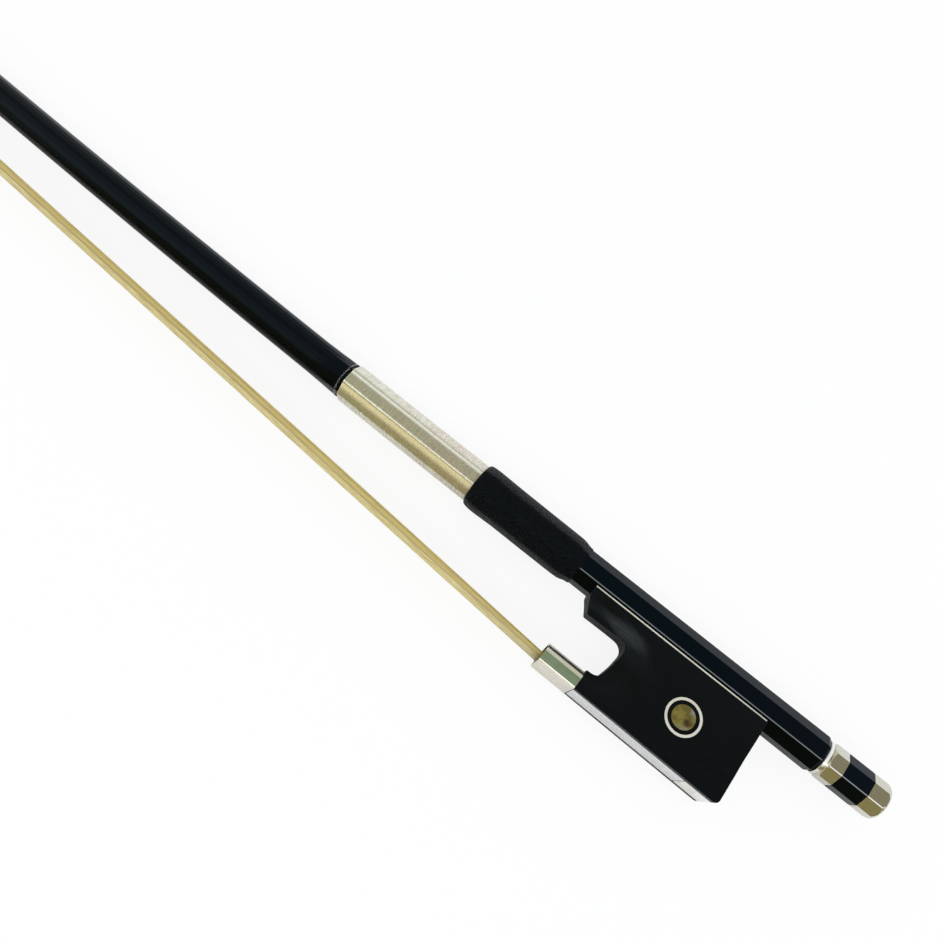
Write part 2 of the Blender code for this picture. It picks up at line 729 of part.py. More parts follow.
# Ferrule, its spread wedge and the hair bound into the frog
ferrule_shape = outline_solid("ferrule_shape", [ferrule_arch(0.0), ferrule_arch(FERRULE_WALL)], FERRULE_FRONT, FERRULE_REAR - FIT, ACROSS)
as_part(ferrule_shape, "ferrule", SILVER, 25)
wedge_side = [(-60.7, -21.08), (-60.7, -22.2), (-56.6, -22.42), (-56.6, -21.08)]
as_part(outline_solid("wedge_side", [wedge_side], -4.9, 4.9), "ferrule_wedge", SOFTWOOD)
frog_knot_side = rounded(
    [
        (-55.85, -23.5, 0),
        (-52.0, -22.28, 1.5),
        (-43.2, -22.28, 0.8),
        (-43.2, -19.4, 0.5),
        (-38.6, -19.4, 1.6),
        (-38.6, -15.9, 1.6),
        (-44.0, -15.9, 1.2),
        (-44.0, -21.4, 0.6),
        (-52.3, -21.4, 1.5),
        (-55.85, -22.6, 0),
    ]
)
as_part(outline_solid("frog_knot_side", [frog_knot_side], -3.1, 3.1), "hair_knot_frog", HORSEHAIR)
as_part(block("frog_plug_shape", (-43.0, -22.25, -3.15), (-36.8, -19.6, 3.15)), "frog_plug", SOFTWOOD)

# Slide: an ebony dovetail with a pearl face, run in from behind the ferrule
base_section = mirrored([(-23.5, SLIDE_HALF + 0.12), (-22.45, SLIDE_HALF + 0.33)])
as_part(outline_solid("slide_base_shape", [base_section], FERRULE_REAR + 0.1, SLIDE_REAR - 0.1, ACROSS), "slide_base", EBONY)
face_section = mirrored([(FROG_BASE, SLIDE_HALF), (-23.6, SLIDE_HALF + 0.1)])
as_part(outline_solid("slide_face_shape", [face_section], FERRULE_REAR + 0.1, SLIDE_REAR - 0.1, ACROSS), "pearl_slide", PEARL)

# Eyes: a silver ring set in the ebony round a pearl dot, on both cheeks
for word, side in cheeks:
    ring = turned("ring_" + word, ring_profile(EYE_RING, EYE_RING - EYE_RING_WALL, 0.03, -1.0), facing(side, 0), steps=48)
    as_part(ring, "eye_ring_" + word, SILVER)
    as_part(rod("dot_" + word, EYE_PEARL, -1.1, 0.03, facing(side, 0), steps=36), "eye_pearl_" + word, EYE_SHELL)

# Screw and three-piece octagonal button, turning on the stick's axis
button = bpy.data.objects.new("button_axis", None)
parts.objects.link(button)
shaft = [(0, 12.9), (SCREW_RADIUS, 12.9), (SCREW_RADIUS, -37.4), (SCREW_TIP_RADIUS, -38.2), (SCREW_TIP_RADIUS, -52.0), (0, -52.6)]
screw_nodes = [as_part(turned("screw_shape", shaft), "adjusting_screw", STEEL)]

bore = rod("button_bore", SCREW_RADIUS + FIT, -5.0, 13.1)
front = prism("front_prism", BUTTON_FLATS, 1.3, FRONT_RING_TO - 0.05)
shoulder = turned("front_shoulder", [(0, 6.0), (4.7, 6.0), (4.7, 2.05), (4.1, 1.45), (4.1, 1.0), (0, 1.0)], steps=48)
collar = turned("collar", [(0, 1.5), (3.95, 1.5), (3.95, 1.14), (4.3, 1.0), (4.3, 0.42), (4.2, 0.32), (0, 0.32)], steps=48)
keep(front, shoulder)
join(front, collar)
cut(front, bore, rod("nipple_recess", 2.85, -1.0, 1.6))
screw_nodes.append(as_part(front, "button_front_ring", SILVER))
core = prism("core_prism", BUTTON_FLATS, FRONT_RING_TO + 0.05, CORE_TO - 0.05)
cut(core, bore)
screw_nodes.append(as_part(core, "button_core", EBONY))
rear = prism("rear_prism", BUTTON_FLATS, CORE_TO + 0.05, 20.0)
dome = [(0, BUTTON_END), (2.6, BUTTON_END - 0.1), (3.6, BUTTON_END - 0.4), (4.15, BUTTON_END - 0.8)]
dome += [(4.5, BUTTON_END - 1.45), (4.75, BUTTON_END - 2.55), (4.75, 11.0), (0, 11.0)]
keep(rear, turned("rear_dome", dome, steps=48))
cut(rear, bore)
screw_nodes.append(as_part(rear, "button_rear_ring", SILVER))

# The whole bow is moved so that its lowest point is at z = 0, under the middle of its box
tip = HEAD @ Vector((FACE_TIP * MM, 0, 0))
bow = bpy.data.objects.new("bow", None)
parts.objects.link(bow)
frog_slide = bpy.data.objects.new("frog_slide", None)
parts.objects.link(frog_slide)
frog_names = ("frog_body", "underslide", "underslide_screw_front", "underslide_screw_rear", "eyelet")
frog_names += ("ferrule", "ferrule_wedge", "hair_knot_frog", "frog_plug", "slide_base", "pearl_slide")
frog_names += ("eye_ring_left", "eye_ring_right", "eye_pearl_left", "eye_pearl_right")
frog_names += ("heel_plate", "heel_pin_lower", "heel_pin_upper")
for piece in list(parts.objects):
    if piece.type != "MESH":
        continue
    if piece in screw_nodes:
        piece.parent = button
    elif piece.name in frog_names:
        piece.parent = frog_slide
    else:
        piece.parent = bow
button.parent = frog_slide.parent = bow

bpy.context.view_layer.update()
corners = [piece.matrix_world @ v.co for piece in parts.objects if piece.type == "MESH" for v in piece.data.vertices]
low = Vector([min(c[k] for c in corners) for k in range(3)])
high = Vector([max(c[k] for c in corners) for k in range(3)])
bow.location = (-(low.x + high.x) / 2, -(low.y + high.y) / 2, -low.z)
bpy.context.view_layer.update()
print("moved by", [round(v / MM, 4) for v in bow.location], "size", [round(v / MM, 3) for v in high - low])
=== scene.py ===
"""Looks for the violin bow: finer hair, winding and leather, materials, light and the camera."""

import math
import random

import bmesh
import bpy
from mathutils import Matrix, Vector


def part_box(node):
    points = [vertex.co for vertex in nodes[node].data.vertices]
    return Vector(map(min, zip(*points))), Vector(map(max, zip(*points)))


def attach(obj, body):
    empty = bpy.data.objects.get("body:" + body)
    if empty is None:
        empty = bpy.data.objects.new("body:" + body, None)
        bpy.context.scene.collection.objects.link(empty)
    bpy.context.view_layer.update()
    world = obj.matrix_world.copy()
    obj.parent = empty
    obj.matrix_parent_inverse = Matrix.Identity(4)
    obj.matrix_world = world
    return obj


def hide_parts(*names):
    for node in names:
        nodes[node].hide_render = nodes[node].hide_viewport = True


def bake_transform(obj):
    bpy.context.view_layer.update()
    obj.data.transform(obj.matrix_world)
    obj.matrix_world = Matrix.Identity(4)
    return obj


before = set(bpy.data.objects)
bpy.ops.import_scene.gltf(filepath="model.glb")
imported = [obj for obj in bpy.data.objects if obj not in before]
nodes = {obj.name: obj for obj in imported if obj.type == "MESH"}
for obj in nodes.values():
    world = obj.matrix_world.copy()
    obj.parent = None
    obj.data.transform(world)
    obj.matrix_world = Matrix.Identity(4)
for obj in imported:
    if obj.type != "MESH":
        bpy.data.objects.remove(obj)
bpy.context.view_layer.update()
scene = bpy.context.scene

# Measures in millimetres, in the stick's own frame: its axis runs along X, Y points away from
# the hair, and x = 0 is the wooden end under the button
MM = 0.001
BUTTON_END = 16.65
STICK_FLATS = 8.7
BUTTON_FLATS = 8.42
OCTAGON = math.tan(math.radians(22.5))  # a flat's width over the distance between two flats
SCREW_PITCH = 0.7

screw_low, screw_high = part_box("adjusting_screw")
button_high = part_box("button_rear_ring")[1]
ring_low, ring_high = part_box("eye_ring_left")
ORIGIN = Vector(
    (
        button_high[0] - BUTTON_END * MM,
        (screw_low[1] + screw_high[1]) / 2,
        (screw_low[2] + screw_high[2]) / 2,
    )
)
EYE_CENTRE = Vector(((ring_low[0] + ring_high[0]) / 2, (ring_low[1] + ring_high[1]) / 2))


def at(x, y, z):
    """A point in the stick's frame, in millimetres, as a place in the model."""
    return ORIGIN + Vector((x, y, z)) * MM


def axis_height(x):
    """The stick's axis is straight along the handle and curves in front of it."""
    t = max(-100.0 - x, 0.0)
    return 9.0e-5 * t**2 - 9.0e-9 * t**3


def hair_height(x):
    """The middle of the ribbon runs straight from the ferrule to the head."""
    return -22.84 + 0.0522 * (-60.0 - x)


# Node helpers


class Nodes:
    """A small wrapper that adds nodes to a material or world and links them by value or socket."""

    def __init__(self, tree):
        self.tree = tree

    def add(self, kind, **settings):
        node = self.tree.nodes.new(kind)
        for key, value in settings.items():
            setattr(node, key, value)
        return node

    def put(self, socket, value):
        if isinstance(value, bpy.types.NodeSocket):
            self.tree.links.new(value, socket)
        elif isinstance(value, tuple) and len(value) == 3 and socket.type == "RGBA":
            socket.default_value = (*value, 1.0)
        else:
            socket.default_value = value

    def math(self, operation, a, b=0.0, clamp=False):
        node = self.add("ShaderNodeMath", operation=operation, use_clamp=clamp)
        self.put(node.inputs[0], a)
        self.put(node.inputs[1], b)
        return node.outputs[0]

    def length(self, a, b):
        squares = self.math("ADD", self.math("MULTIPLY", a, a), self.math("MULTIPLY", b, b))
        return self.math("SQRT", squares)

    def mix(self, factor, a, b):
        node = self.add("ShaderNodeMix", data_type="RGBA")
        self.put(node.inputs["Factor"], factor)
        self.put(node.inputs["A"], a)
        self.put(node.inputs["B"], b)
        return node.outputs["Result"]

    def step(self, value, low, high, out_low=0.0, out_high=1.0):
        """From out_low to out_high as the value goes from low to high, eased at both ends."""
        node = self.add("ShaderNodeMapRange", interpolation_type="SMOOTHSTEP")
        for key, number in enumerate((value, low, high, out_low, out_high)):
            self.put(node.inputs[key], number)
        return node.outputs[0]

    def step_linear(self, value, low, high):
        node = self.add("ShaderNodeMapRange")
        for key, number in enumerate((value, low, high)):
            self.put(node.inputs[key], number)
        return node.outputs[0]

    def ramp(self, value, stops):
        """A colour that changes along an angle; each stop is an angle in degrees and a colour."""
        node = self.add("ShaderNodeValToRGB")
        self.put(node.inputs[0], value)
        band = node.color_ramp
        band.elements[0].position = (stops[0][0] + 180) / 360
        band.elements[0].color = (*stops[0][1], 1.0)
        band.elements[1].position = (stops[-1][0] + 180) / 360
        band.elements[1].color = (*stops[-1][1], 1.0)
        for angle, colour in stops[1:-1]:
            band.elements.new((angle + 180) / 360).color = (*colour, 1.0)
        return node.outputs[0]

    def place(self, scale=(1.0, 1.0, 1.0), spin=(0.0, 0.0, 0.0), shift=(0.0, 0.0, 0.0)):
        """Object coordinates in millimetres, stretched by scale."""
        spot = self.add("ShaderNodeTexCoord").outputs["Object"]
        node = self.add("ShaderNodeMapping")
        self.put(node.inputs["Vector"], spot)
        self.put(node.inputs["Location"], shift)
        self.put(node.inputs["Rotation"], spin)
        self.put(node.inputs["Scale"], tuple(s / MM for s in scale))
        return node.outputs[0]

    def split(self, vector):
        node = self.add("ShaderNodeSeparateXYZ")
        self.put(node.inputs[0], vector)
        return node.outputs

    def stick_spot(self):
        """X, Y and Z in the stick's own frame, in millimetres."""
        return self.split(self.place(shift=tuple(-c / MM for c in ORIGIN)))

    def noise(self, vector, scale=1.0, detail=4.0, rough=0.55, distort=0.0):
        node = self.add("ShaderNodeTexNoise")
        self.put(node.inputs["Vector"], vector)
        self.put(node.inputs["Scale"], scale)
        self.put(node.inputs["Detail"], detail)
        self.put(node.inputs["Roughness"], rough)
        self.put(node.inputs["Distortion"], distort)
        return node.outputs["Fac"]

    def cells(self, vector, scale=1.0):
        node = self.add("ShaderNodeTexVoronoi", feature="F1")
        self.put(node.inputs["Vector"], vector)
        self.put(node.inputs["Scale"], scale)
        return node.outputs["Distance"]

    def corner_highlight(self, flats, wide=0.17):
        """1 along the ridges between the lower flats on the hair's side and the others: the mask for
        painted highlight lines.

        It fades out at the front of the handle, where the leather covers the stick.
        """
        x, y, z = self.stick_spot()
        off_y = self.math("SUBTRACT", y, -flats / 2 * OCTAGON)
        off_z = self.math("SUBTRACT", self.math("ABSOLUTE", z), flats / 2)
        line = self.step(self.length(off_y, off_z), wide, wide * 0.5)
        return self.math("MULTIPLY", line, self.step(x, -98.0, -94.0))

    def sheen_flats(self, flats):
        """0 on the lower flats on the hair's side, 1 on the others, which get the painted sheen."""
        corner_y = -flats / 2 * OCTAGON
        return self.step(self.stick_spot()[1], corner_y - 0.2, corner_y + 0.2)

    def bump(self, height, distance, strength=1.0):
        """distance is the relief's full height in millimetres."""
        node = self.add("ShaderNodeBump")
        self.put(node.inputs["Height"], height)
        self.put(node.inputs["Distance"], distance * MM)
        self.put(node.inputs["Strength"], strength)
        return node.outputs[0]


def material(name, paint):
    made = bpy.data.materials.new(name)
    made.use_nodes = True
    tree = Nodes(made.node_tree)
    shader = made.node_tree.nodes["Principled BSDF"]
    for key, value in paint(tree).items():
        tree.put(shader.inputs[key], value)
    return made


# Materials


def lacquer(n):
    """Black lacquer: a faint bluish cast, a bluish painted sheen on all but the lower flats on the
    hair's side, painted highlight lines along the corners, a slow ripple left by polishing and a few
    fine scuffs.
    """
    ripple = n.noise(n.place((0.05, 0.5, 0.5)), 1.0, 2.0)
    scuffs = n.noise(n.place((0.25, 3.0, 3.0)), 1.0, 6.0, 0.7)
    # Painted sheen: near black on the lower flats on the hair's side, bluish on the others, and
    # painted highlight lines along the corners between them
    deep = n.mix(ripple, (0.0004, 0.0011, 0.0012), (0.0007, 0.0017, 0.0018))
    sheen_blue = n.mix(ripple, (0.0012, 0.0030, 0.0052), (0.0020, 0.0040, 0.0066))
    black = n.mix(n.sheen_flats(STICK_FLATS), deep, sheen_blue)
    return {
        "Base Color": n.mix(n.corner_highlight(STICK_FLATS), black, (0.17, 0.18, 0.18)),
        "Roughness": n.step(scuffs, 0.35, 0.75, 0.13, 0.24),
        "IOR": 1.19,
        "Specular Tint": (0.72, 0.92, 1.0),
        "Normal": n.bump(ripple, 0.02, 0.3),
    }


def ebony(n):
    """Oiled ebony: almost black, with short open pores, and a painted satin highlight on a patch
    behind the tongue.
    """
    grain = n.noise(n.place((0.12, 1.6, 1.6)), 1.0, 5.0, 0.6, 0.4)
    pores = n.noise(n.place((0.55, 7.0, 7.0)), 1.0, 3.0, 0.6)
    pits = n.step(pores, 0.33, 0.42)
    # The painted satin highlight is a slanting wedge behind the tongue, widest at its rear
    x, y, _ = n.stick_spot()
    along = n.math("ADD", x, 50.0)
    over = n.math("ADD", n.math("ADD", y, 6.7), n.math("MULTIPLY", along, 0.15))
    wide = n.math("ADD", n.math("MULTIPLY", along, 0.14), 2.1)
    over = n.math("DIVIDE", over, n.math("MAXIMUM", wide, 0.9))
    away = n.length(over, n.math("MULTIPLY", along, 0.115))
    streaks = n.noise(n.place((0.35, 2.6, 0.4), spin=(0.0, 0.0, 0.15)), 1.0, 5.0, 0.7)
    wear_and_sheen = n.math("MULTIPLY", n.step(away, 1.0, 0.05), n.step(streaks, 0.25, 0.75, 0.45, 1.0))
    black = n.mix(grain, (0.0004, 0.0007, 0.0008), (0.0014, 0.0016, 0.0019))
    return {
        "Base Color": n.mix(wear_and_sheen, black, (0.036, 0.041, 0.039)),
        "Roughness": n.step(grain, 0.3, 0.7, 0.40, 0.50),
        "IOR": 1.25,
        "Specular Tint": (0.72, 0.86, 1.0),
        "Normal": n.bump(n.math("ADD", pits, grain), 0.03, 0.35),
    }


def plain_ebony(n):
    """The button's core, polished ebony with a bluish painted sheen on all but the lower flats on
    the hair's side and painted highlight lines along its corners.
    """
    sheen = n.noise(n.place((0.3, 2.0, 2.0)), 1.0, 4.0)
    # Painted sheen: bluish on all but the lower flats on the hair's side, with painted highlight
    # lines along the corners
    deep = n.mix(sheen, (0.0005, 0.0012, 0.0012), (0.0008, 0.0018, 0.0018))
    sheen_blue = n.mix(sheen, (0.0012, 0.0032, 0.0062), (0.0020, 0.0044, 0.0080))
    black = n.mix(n.sheen_flats(BUTTON_FLATS), deep, sheen_blue)
    return {
        "Base Color": n.mix(n.corner_highlight(BUTTON_FLATS), black, (0.24, 0.25, 0.25)),
        "Roughness": n.step(sheen, 0.3, 0.7, 0.14, 0.24),
        "IOR": 1.22,
        "Specular Tint": (0.66, 0.84, 1.0),
    }


def silver(name, tint, rough, along=(0.08, 5.0, 5.0), metal=1.0):
    """Polished nickel silver with hairline scratches along its length and a warm, uneven tarnish."""

    def paint(n):
        lines = n.noise(n.place(along), 1.0, 5.0, 0.65)
        cloud = n.noise(n.place((0.25, 0.25, 0.25)), 1.0, 3.0)
        dull = tuple(c * k for c, k in zip(tint, (0.88, 0.84, 0.74)))
        return {
            "Base Color": n.mix(n.step(cloud, 0.35, 0.75), tint, dull),
            "Metallic": metal,
            "Roughness": n.step(lines, 0.3, 0.75, rough, rough + 0.12),
            "Normal": n.bump(lines, 0.004, 0.4),
        }

    return material(name, paint)


def silver_wire(n):
    """Fine silver wire, pinker towards the grip, with a painted pale highlight band and a painted
    golden reflection band running along the winding.
    """
    turns = n.noise(n.place((3.4, 0.25, 0.25)), 1.0, 3.0, 0.7)
    slow = n.noise(n.place((0.16, 0.02, 0.02)), 1.0, 2.0)
    x, y, _ = n.stick_spot()
    pink = n.math("MULTIPLY", n.step(x, -132.0, -104.0), n.step(slow, 0.3, 0.6))
    base = n.mix(pink, (0.97, 0.95, 0.82), (0.97, 0.92, 0.81))
    shade = n.mix(pink, (0.80, 0.80, 0.68), (0.85, 0.74, 0.65))
    color = n.mix(n.step(turns, 0.38, 0.64), base, shade)
    # Painted highlight and reflection: a pale band and a golden band at fixed heights across the
    # winding, less metallic so they stay bright
    cool = n.math("MULTIPLY", n.step(y, 0.45, 1.45), n.step(y, 1.64, 1.50))
    gold_reflection = n.math("MULTIPLY", n.step(y, -4.0, -2.5), n.step(y, -2.22, -2.44))
    color = n.mix(cool, color, (0.96, 0.98, 0.87))
    color = n.mix(gold_reflection, color, (0.97, 0.87, 0.50))
    return {
        "Base Color": color,
        "Metallic": n.step(n.math("MAXIMUM", cool, gold_reflection), 0.0, 1.0, 1.0, 0.28),
        "Roughness": n.step(turns, 0.3, 0.75, 0.24, 0.34),
    }


def ring_silver(n):
    """The button's rings: nickel silver with painted white highlights along the corners and on the
    front collar, fainter towards the hair's side.
    """
    lines = n.noise(n.place((4.0, 0.3, 0.3)), 1.0, 4.0, 0.6)
    x, y, _ = n.stick_spot()
    # Painted highlights: white and less metallic along the corners and on the front collar, fainter
    # towards the hair's side
    collar = n.math("MULTIPLY", n.step(x, 1.02, 0.90), n.step(y, -3.6, -0.6, 0.15, 0.8))
    white = n.math("MAXIMUM", n.corner_highlight(BUTTON_FLATS), collar)
    grey = n.mix(lines, (0.70, 0.68, 0.58), (0.60, 0.58, 0.48))
    return {
        "Base Color": n.mix(white, grey, (0.95, 0.94, 0.92)),
        "Metallic": n.step(white, 0.1, 0.9, 1.0, 0.2),
        "Roughness": n.step(lines, 0.3, 0.75, 0.12, 0.22),
        "Normal": n.bump(lines, 0.004, 0.3),
    }


def brass(n):
    rings = n.noise(n.place((5.0, 0.6, 5.0)), 1.0, 3.0)
    return {
        "Base Color": n.mix(rings, (0.70, 0.50, 0.20), (0.60, 0.40, 0.14)),
        "Metallic": 1.0,
        "Roughness": n.step(rings, 0.3, 0.7, 0.25, 0.4),
    }


def steel(n):
    """The screw, its thread drawn as a relief at the real pitch."""
    turn = n.math("MULTIPLY", n.split(n.place())[0], 2 * math.pi / SCREW_PITCH)
    return {
        "Base Color": (0.42, 0.42, 0.43),
        "Metallic": 1.0,
        "Roughness": n.step(n.noise(n.place((2.0, 2.0, 2.0))), 0.3, 0.7, 0.28, 0.42),
        "Normal": n.bump(n.math("SINE", turn), 0.25, 0.8),
    }


def white_pearl(n):
    """Mother-of-pearl: pale, with grey and greenish clouds drawn out along the slide."""
    fold = n.noise(n.place((0.10, 0.5, 0.5)), 1.0, 4.0, 0.5, 1.2)
    fine = n.noise(n.place((0.5, 2.4, 2.4), shift=(9.0, 2.0, 0.0)), 1.0, 4.0, 0.6, 0.8)
    warm = n.mix(n.step(fold, 0.40, 0.62), (0.56, 0.53, 0.50), (0.66, 0.66, 0.60))
    cool = n.mix(n.step(fine, 0.42, 0.60), (0.40, 0.40, 0.41), warm)
    return {
        "Base Color": n.mix(0.55, warm, cool),
        "Roughness": n.step(fine, 0.3, 0.7, 0.12, 0.22),
        "Coat Weight": 0.6,
        "Coat Roughness": 0.08,
        "Normal": n.bump(fold, 0.02, 0.3),
    }


def golden_pearl(n):
    """Dark shell in the eyes: olive gold with soft folds, milky clouds and one brown knot."""
    fold = n.noise(n.place((0.30, 0.36, 0.1), shift=(0.9, 4.1, 0.0)), 1.0, 3.0, 0.5, 1.4)
    cloud = n.noise(n.place((0.26, 0.26, 0.1), shift=(3.1, 1.3, 2.0)), 1.0, 2.0, 0.5, 0.6)
    away = n.add("ShaderNodeVectorMath", operation="DISTANCE")
    n.put(away.inputs[0], n.place((1.0, 1.0, 0.0)))
    n.put(away.inputs[1], (*(EYE_CENTRE / MM + Vector((1.18, -0.51))), 0.0))
    reach = n.math("ADD", away.outputs["Value"], n.math("MULTIPLY", fold, 0.6))
    base = n.mix(n.step(fold, 0.34, 0.66), (0.100, 0.075, 0.014), (0.190, 0.155, 0.026))
    base = n.mix(n.step(cloud, 0.56, 0.76), base, (0.24, 0.23, 0.19))
    return {
        "Base Color": n.mix(n.step(reach, 0.50, 1.70), (0.036, 0.014, 0.003), base),
        "Roughness": 0.16,
        "Coat Weight": 0.5,
        "Coat Roughness": 0.05,
        "Normal": n.bump(fold, 0.03, 0.4),
    }


def leather(n):
    """Fine-grained black leather, its pebbles rubbed shiny on top."""
    pebbles = n.cells(n.place(), 1.9)
    creases = n.noise(n.place(), 0.8, 5.0, 0.65)
    height = n.math("ADD", pebbles, n.math("MULTIPLY", creases, 0.9))
    deep, wear_and_sheen = (0.0003, 0.0006, 0.0008), (0.0016, 0.0021, 0.0030)
    return {
        "Base Color": n.mix(n.step(creases, 0.35, 0.65), deep, wear_and_sheen),
        "Roughness": n.step(pebbles, 0.1, 0.55, 0.24, 0.44),
        "IOR": 1.21,
        "Specular Tint": (0.66, 0.82, 1.0),
        "Normal": n.bump(height, 0.24, 0.9),
    }


def horsehair(n):
    """Bleached horsehair: pale straw, darker in fine streaks along it, with painted shade along the
    ribbon's +Z edge and a line of painted shade along one parting of the ribbon.
    """
    runs = n.noise(n.place((0.006, 4.2, 3.0)), 1.0, 4.0, 0.7)
    slow = n.noise(n.place((0.012, 0.5, 0.5)), 1.0, 3.0)
    pale = n.mix(n.step(slow, 0.35, 0.65), (0.72, 0.62, 0.27), (0.82, 0.73, 0.38))
    across = n.stick_spot()[2]
    # Painted shade: darker, browner straw along the ribbon's +Z edge, and a dark line where the
    # ribbon parts
    tan = n.mix(n.step(across, 2.9, 4.2), pale, (0.64, 0.52, 0.19))
    parting_shade = n.math("ABSOLUTE", n.math("SUBTRACT", across, 3.3))
    tan = n.mix(n.step(parting_shade, 0.25, 0.75, 0.85, 0.0), tan, (0.30, 0.20, 0.045))
    return {
        "Base Color": n.mix(n.step(runs, 0.36, 0.60), (0.52, 0.41, 0.15), tan),
        "Roughness": 0.42,
        "Specular IOR Level": 0.35,
        "Normal": n.bump(runs, 0.05, 0.5),
    }


def bone(n):
    lines = n.noise(n.place((0.3, 1.2, 4.0)), 1.0, 4.0)
    return {
        "Base Color": n.mix(lines, (0.70, 0.64, 0.50), (0.80, 0.76, 0.65)),
        "Roughness": n.step(lines, 0.3, 0.7, 0.28, 0.42),
        "Normal": n.bump(lines, 0.01, 0.3),
    }


def softwood(n):
    rings = n.noise(n.place((0.4, 3.0, 3.0)), 1.0, 4.0, 0.6, 0.6)
    return {
        "Base Color": n.mix(rings, (0.46, 0.30, 0.14), (0.66, 0.48, 0.27)),
        "Roughness": 0.7,
        "Normal": n.bump(rings, 0.04, 0.5),
    }


def film(n):
    cloud = n.noise(n.place((0.5, 0.5, 0.5)))
    return {
        "Base Color": n.mix(cloud, (0.93, 0.90, 0.80), (0.85, 0.84, 0.78)),
        "Roughness": 0.12,
        "Transmission Weight": 0.85,
        "IOR": 1.45,
        "Alpha": 0.28,
    }


def pale_floor(n):
    mottle = n.noise(n.place((0.01, 0.01, 0.01)), 1.0, 2.0)
    return {"Base Color": n.mix(mottle, (0.90, 0.90, 0.90), (0.92, 0.92, 0.92)), "Roughness": 0.9}


WIRE = material("silver_wire", silver_wire)
HAIR = material("bleached_horsehair", horsehair)
LEATHER = material("thumb_leather_grain", leather)
FILM = material("clear_film", film)
RING = silver("satin_silver", (0.80, 0.78, 0.70), 0.42, along=(1.0, 1.0, 1.0), metal=0.45)
BRIGHT = silver("bright_silver", (0.95, 0.94, 0.90), 0.20)
finishes = {
    material("black_lacquer_gloss", lacquer): ("stick",),
    material("oiled_ebony", ebony): ("frog_body", "slide_base", "head_plate_liner"),
    material("polished_ebony", plain_ebony): ("button_core",),
    silver("nickel_silver", (0.80, 0.77, 0.67), 0.13): ("ferrule",),
    BRIGHT: ("heel_plate", "heel_pin_lower", "heel_pin_upper"),
    silver("dull_lining", (0.16, 0.15, 0.13), 0.45): ("underslide",),
    material("silver_with_painted_highlights", ring_silver): ("button_front_ring", "button_rear_ring"),
    RING: ("eye_ring_left", "eye_ring_right"),
    material("turned_brass", brass): ("eyelet", "underslide_screw_front", "underslide_screw_rear"),
    material("threaded_steel", steel): ("adjusting_screw",),
    material("white_pearl", white_pearl): ("pearl_slide",),
    material("golden_shell", golden_pearl): ("eye_pearl_left", "eye_pearl_right"),
    HAIR: ("hair_knot_head", "hair_knot_frog"),
    material("bone_plate", bone): ("head_plate",),
    material("soft_maple", softwood): ("head_plug", "frog_plug", "ferrule_wedge"),
}
for surface, names in finishes.items():
    for name in names:
        mesh = nodes[name].data
        mesh.materials.clear()
        mesh.materials.append(surface)

# The real corners are eased a little, and each draws a thin line of light
for name, width in (
    ("stick", 0.14),
    ("button_front_ring", 0.14),
    ("button_core", 0.12),
    ("button_rear_ring", 0.14),
    ("ferrule", 0.10),
):
    weld = nodes[name].modifiers.new("weld", "WELD")
    weld.merge_threshold = 0.002 * MM
    ease = nodes[name].modifiers.new("eased_corners", "BEVEL")
    ease.width = width * MM
    ease.segments = 3
    ease.limit_method = "ANGLE"
    ease.angle_limit = math.radians(32)
    ease.harden_normals = True


# Mesh helpers


def skin(work, rings):
    """Smooth faces between each closed ring of corners and the next."""
    for one, two in zip(rings, rings[1:]):
        for k in range(len(one)):
            n = (k + 1) % len(one)
            work.faces.new((one[k], one[n], two[n], two[k])).smooth = True


def add_tube(work, path, radius, sides):
    """A closed tube of that many sides through a path of points."""
    rings = []
    for i, point in enumerate(path):
        ahead = (path[min(i + 1, len(path) - 1)] - path[max(i - 1, 0)]).normalized()
        upward = Vector((0, 0, 1)) if abs(ahead.z) < 0.9 else Vector((1, 0, 0))
        side = ahead.cross(upward).normalized()
        up = side.cross(ahead)
        ring = []
        for k in range(sides):
            turn = 2 * math.pi * (k + 0.5) / sides
            corner = point + (side * math.cos(turn) + up * math.sin(turn)) * radius
            ring.append(work.verts.new(corner))
        rings.append(ring)
    skin(work, rings)
    work.faces.new(rings[0][::-1])
    work.faces.new(rings[-1])


def from_bmesh(name, work, surface):
    mesh = bpy.data.meshes.new(name)
    bmesh.ops.recalc_face_normals(work, faces=work.faces)
    work.to_mesh(mesh)
    work.free()
    mesh.materials.append(surface)
    made = bpy.data.objects.new(name, mesh)
    scene.collection.objects.link(made)
    return made


# Winding: fine round wire laid turn by turn over the octagonal handle
WIRE_RADIUS = 0.153
WIRE_PITCH = 0.31
WIRE_FROM = -137.7
WIRE_TO = -95.6
WIRE_FLATS = STICK_FLATS + 2 * WIRE_RADIUS + 0.3  # between the wire's middles on two flats
BEND = (-20.4, -16.5, 0.0, 16.5, 20.4)  # degrees from a flat's middle, bent round its corners


def wire_reach(off):
    """From the axis to the wire's middle, at an angle off the middle of a flat."""
    flat = WIRE_FLATS / 2 / math.cos(math.radians(off))
    corner = WIRE_FLATS / 2 / math.cos(math.radians(BEND[-1]))
    return min(flat, corner)


path = []
for k in range(int((WIRE_TO - WIRE_FROM) / WIRE_PITCH) * 8):
    for off in BEND:
        angle = 45.0 * k + off
        along = WIRE_FROM + WIRE_PITCH * angle / 360.0
        reach = wire_reach(off)
        up = axis_height(along) + reach * math.cos(math.radians(angle))
        path.append(at(along, up, reach * math.sin(math.radians(angle))))
work = bmesh.new()
add_tube(work, path, WIRE_RADIUS * MM, 6)
winding = from_bmesh("fine_wire_winding", work, WIRE)
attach(winding, "stick")
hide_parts("wire_lapping")

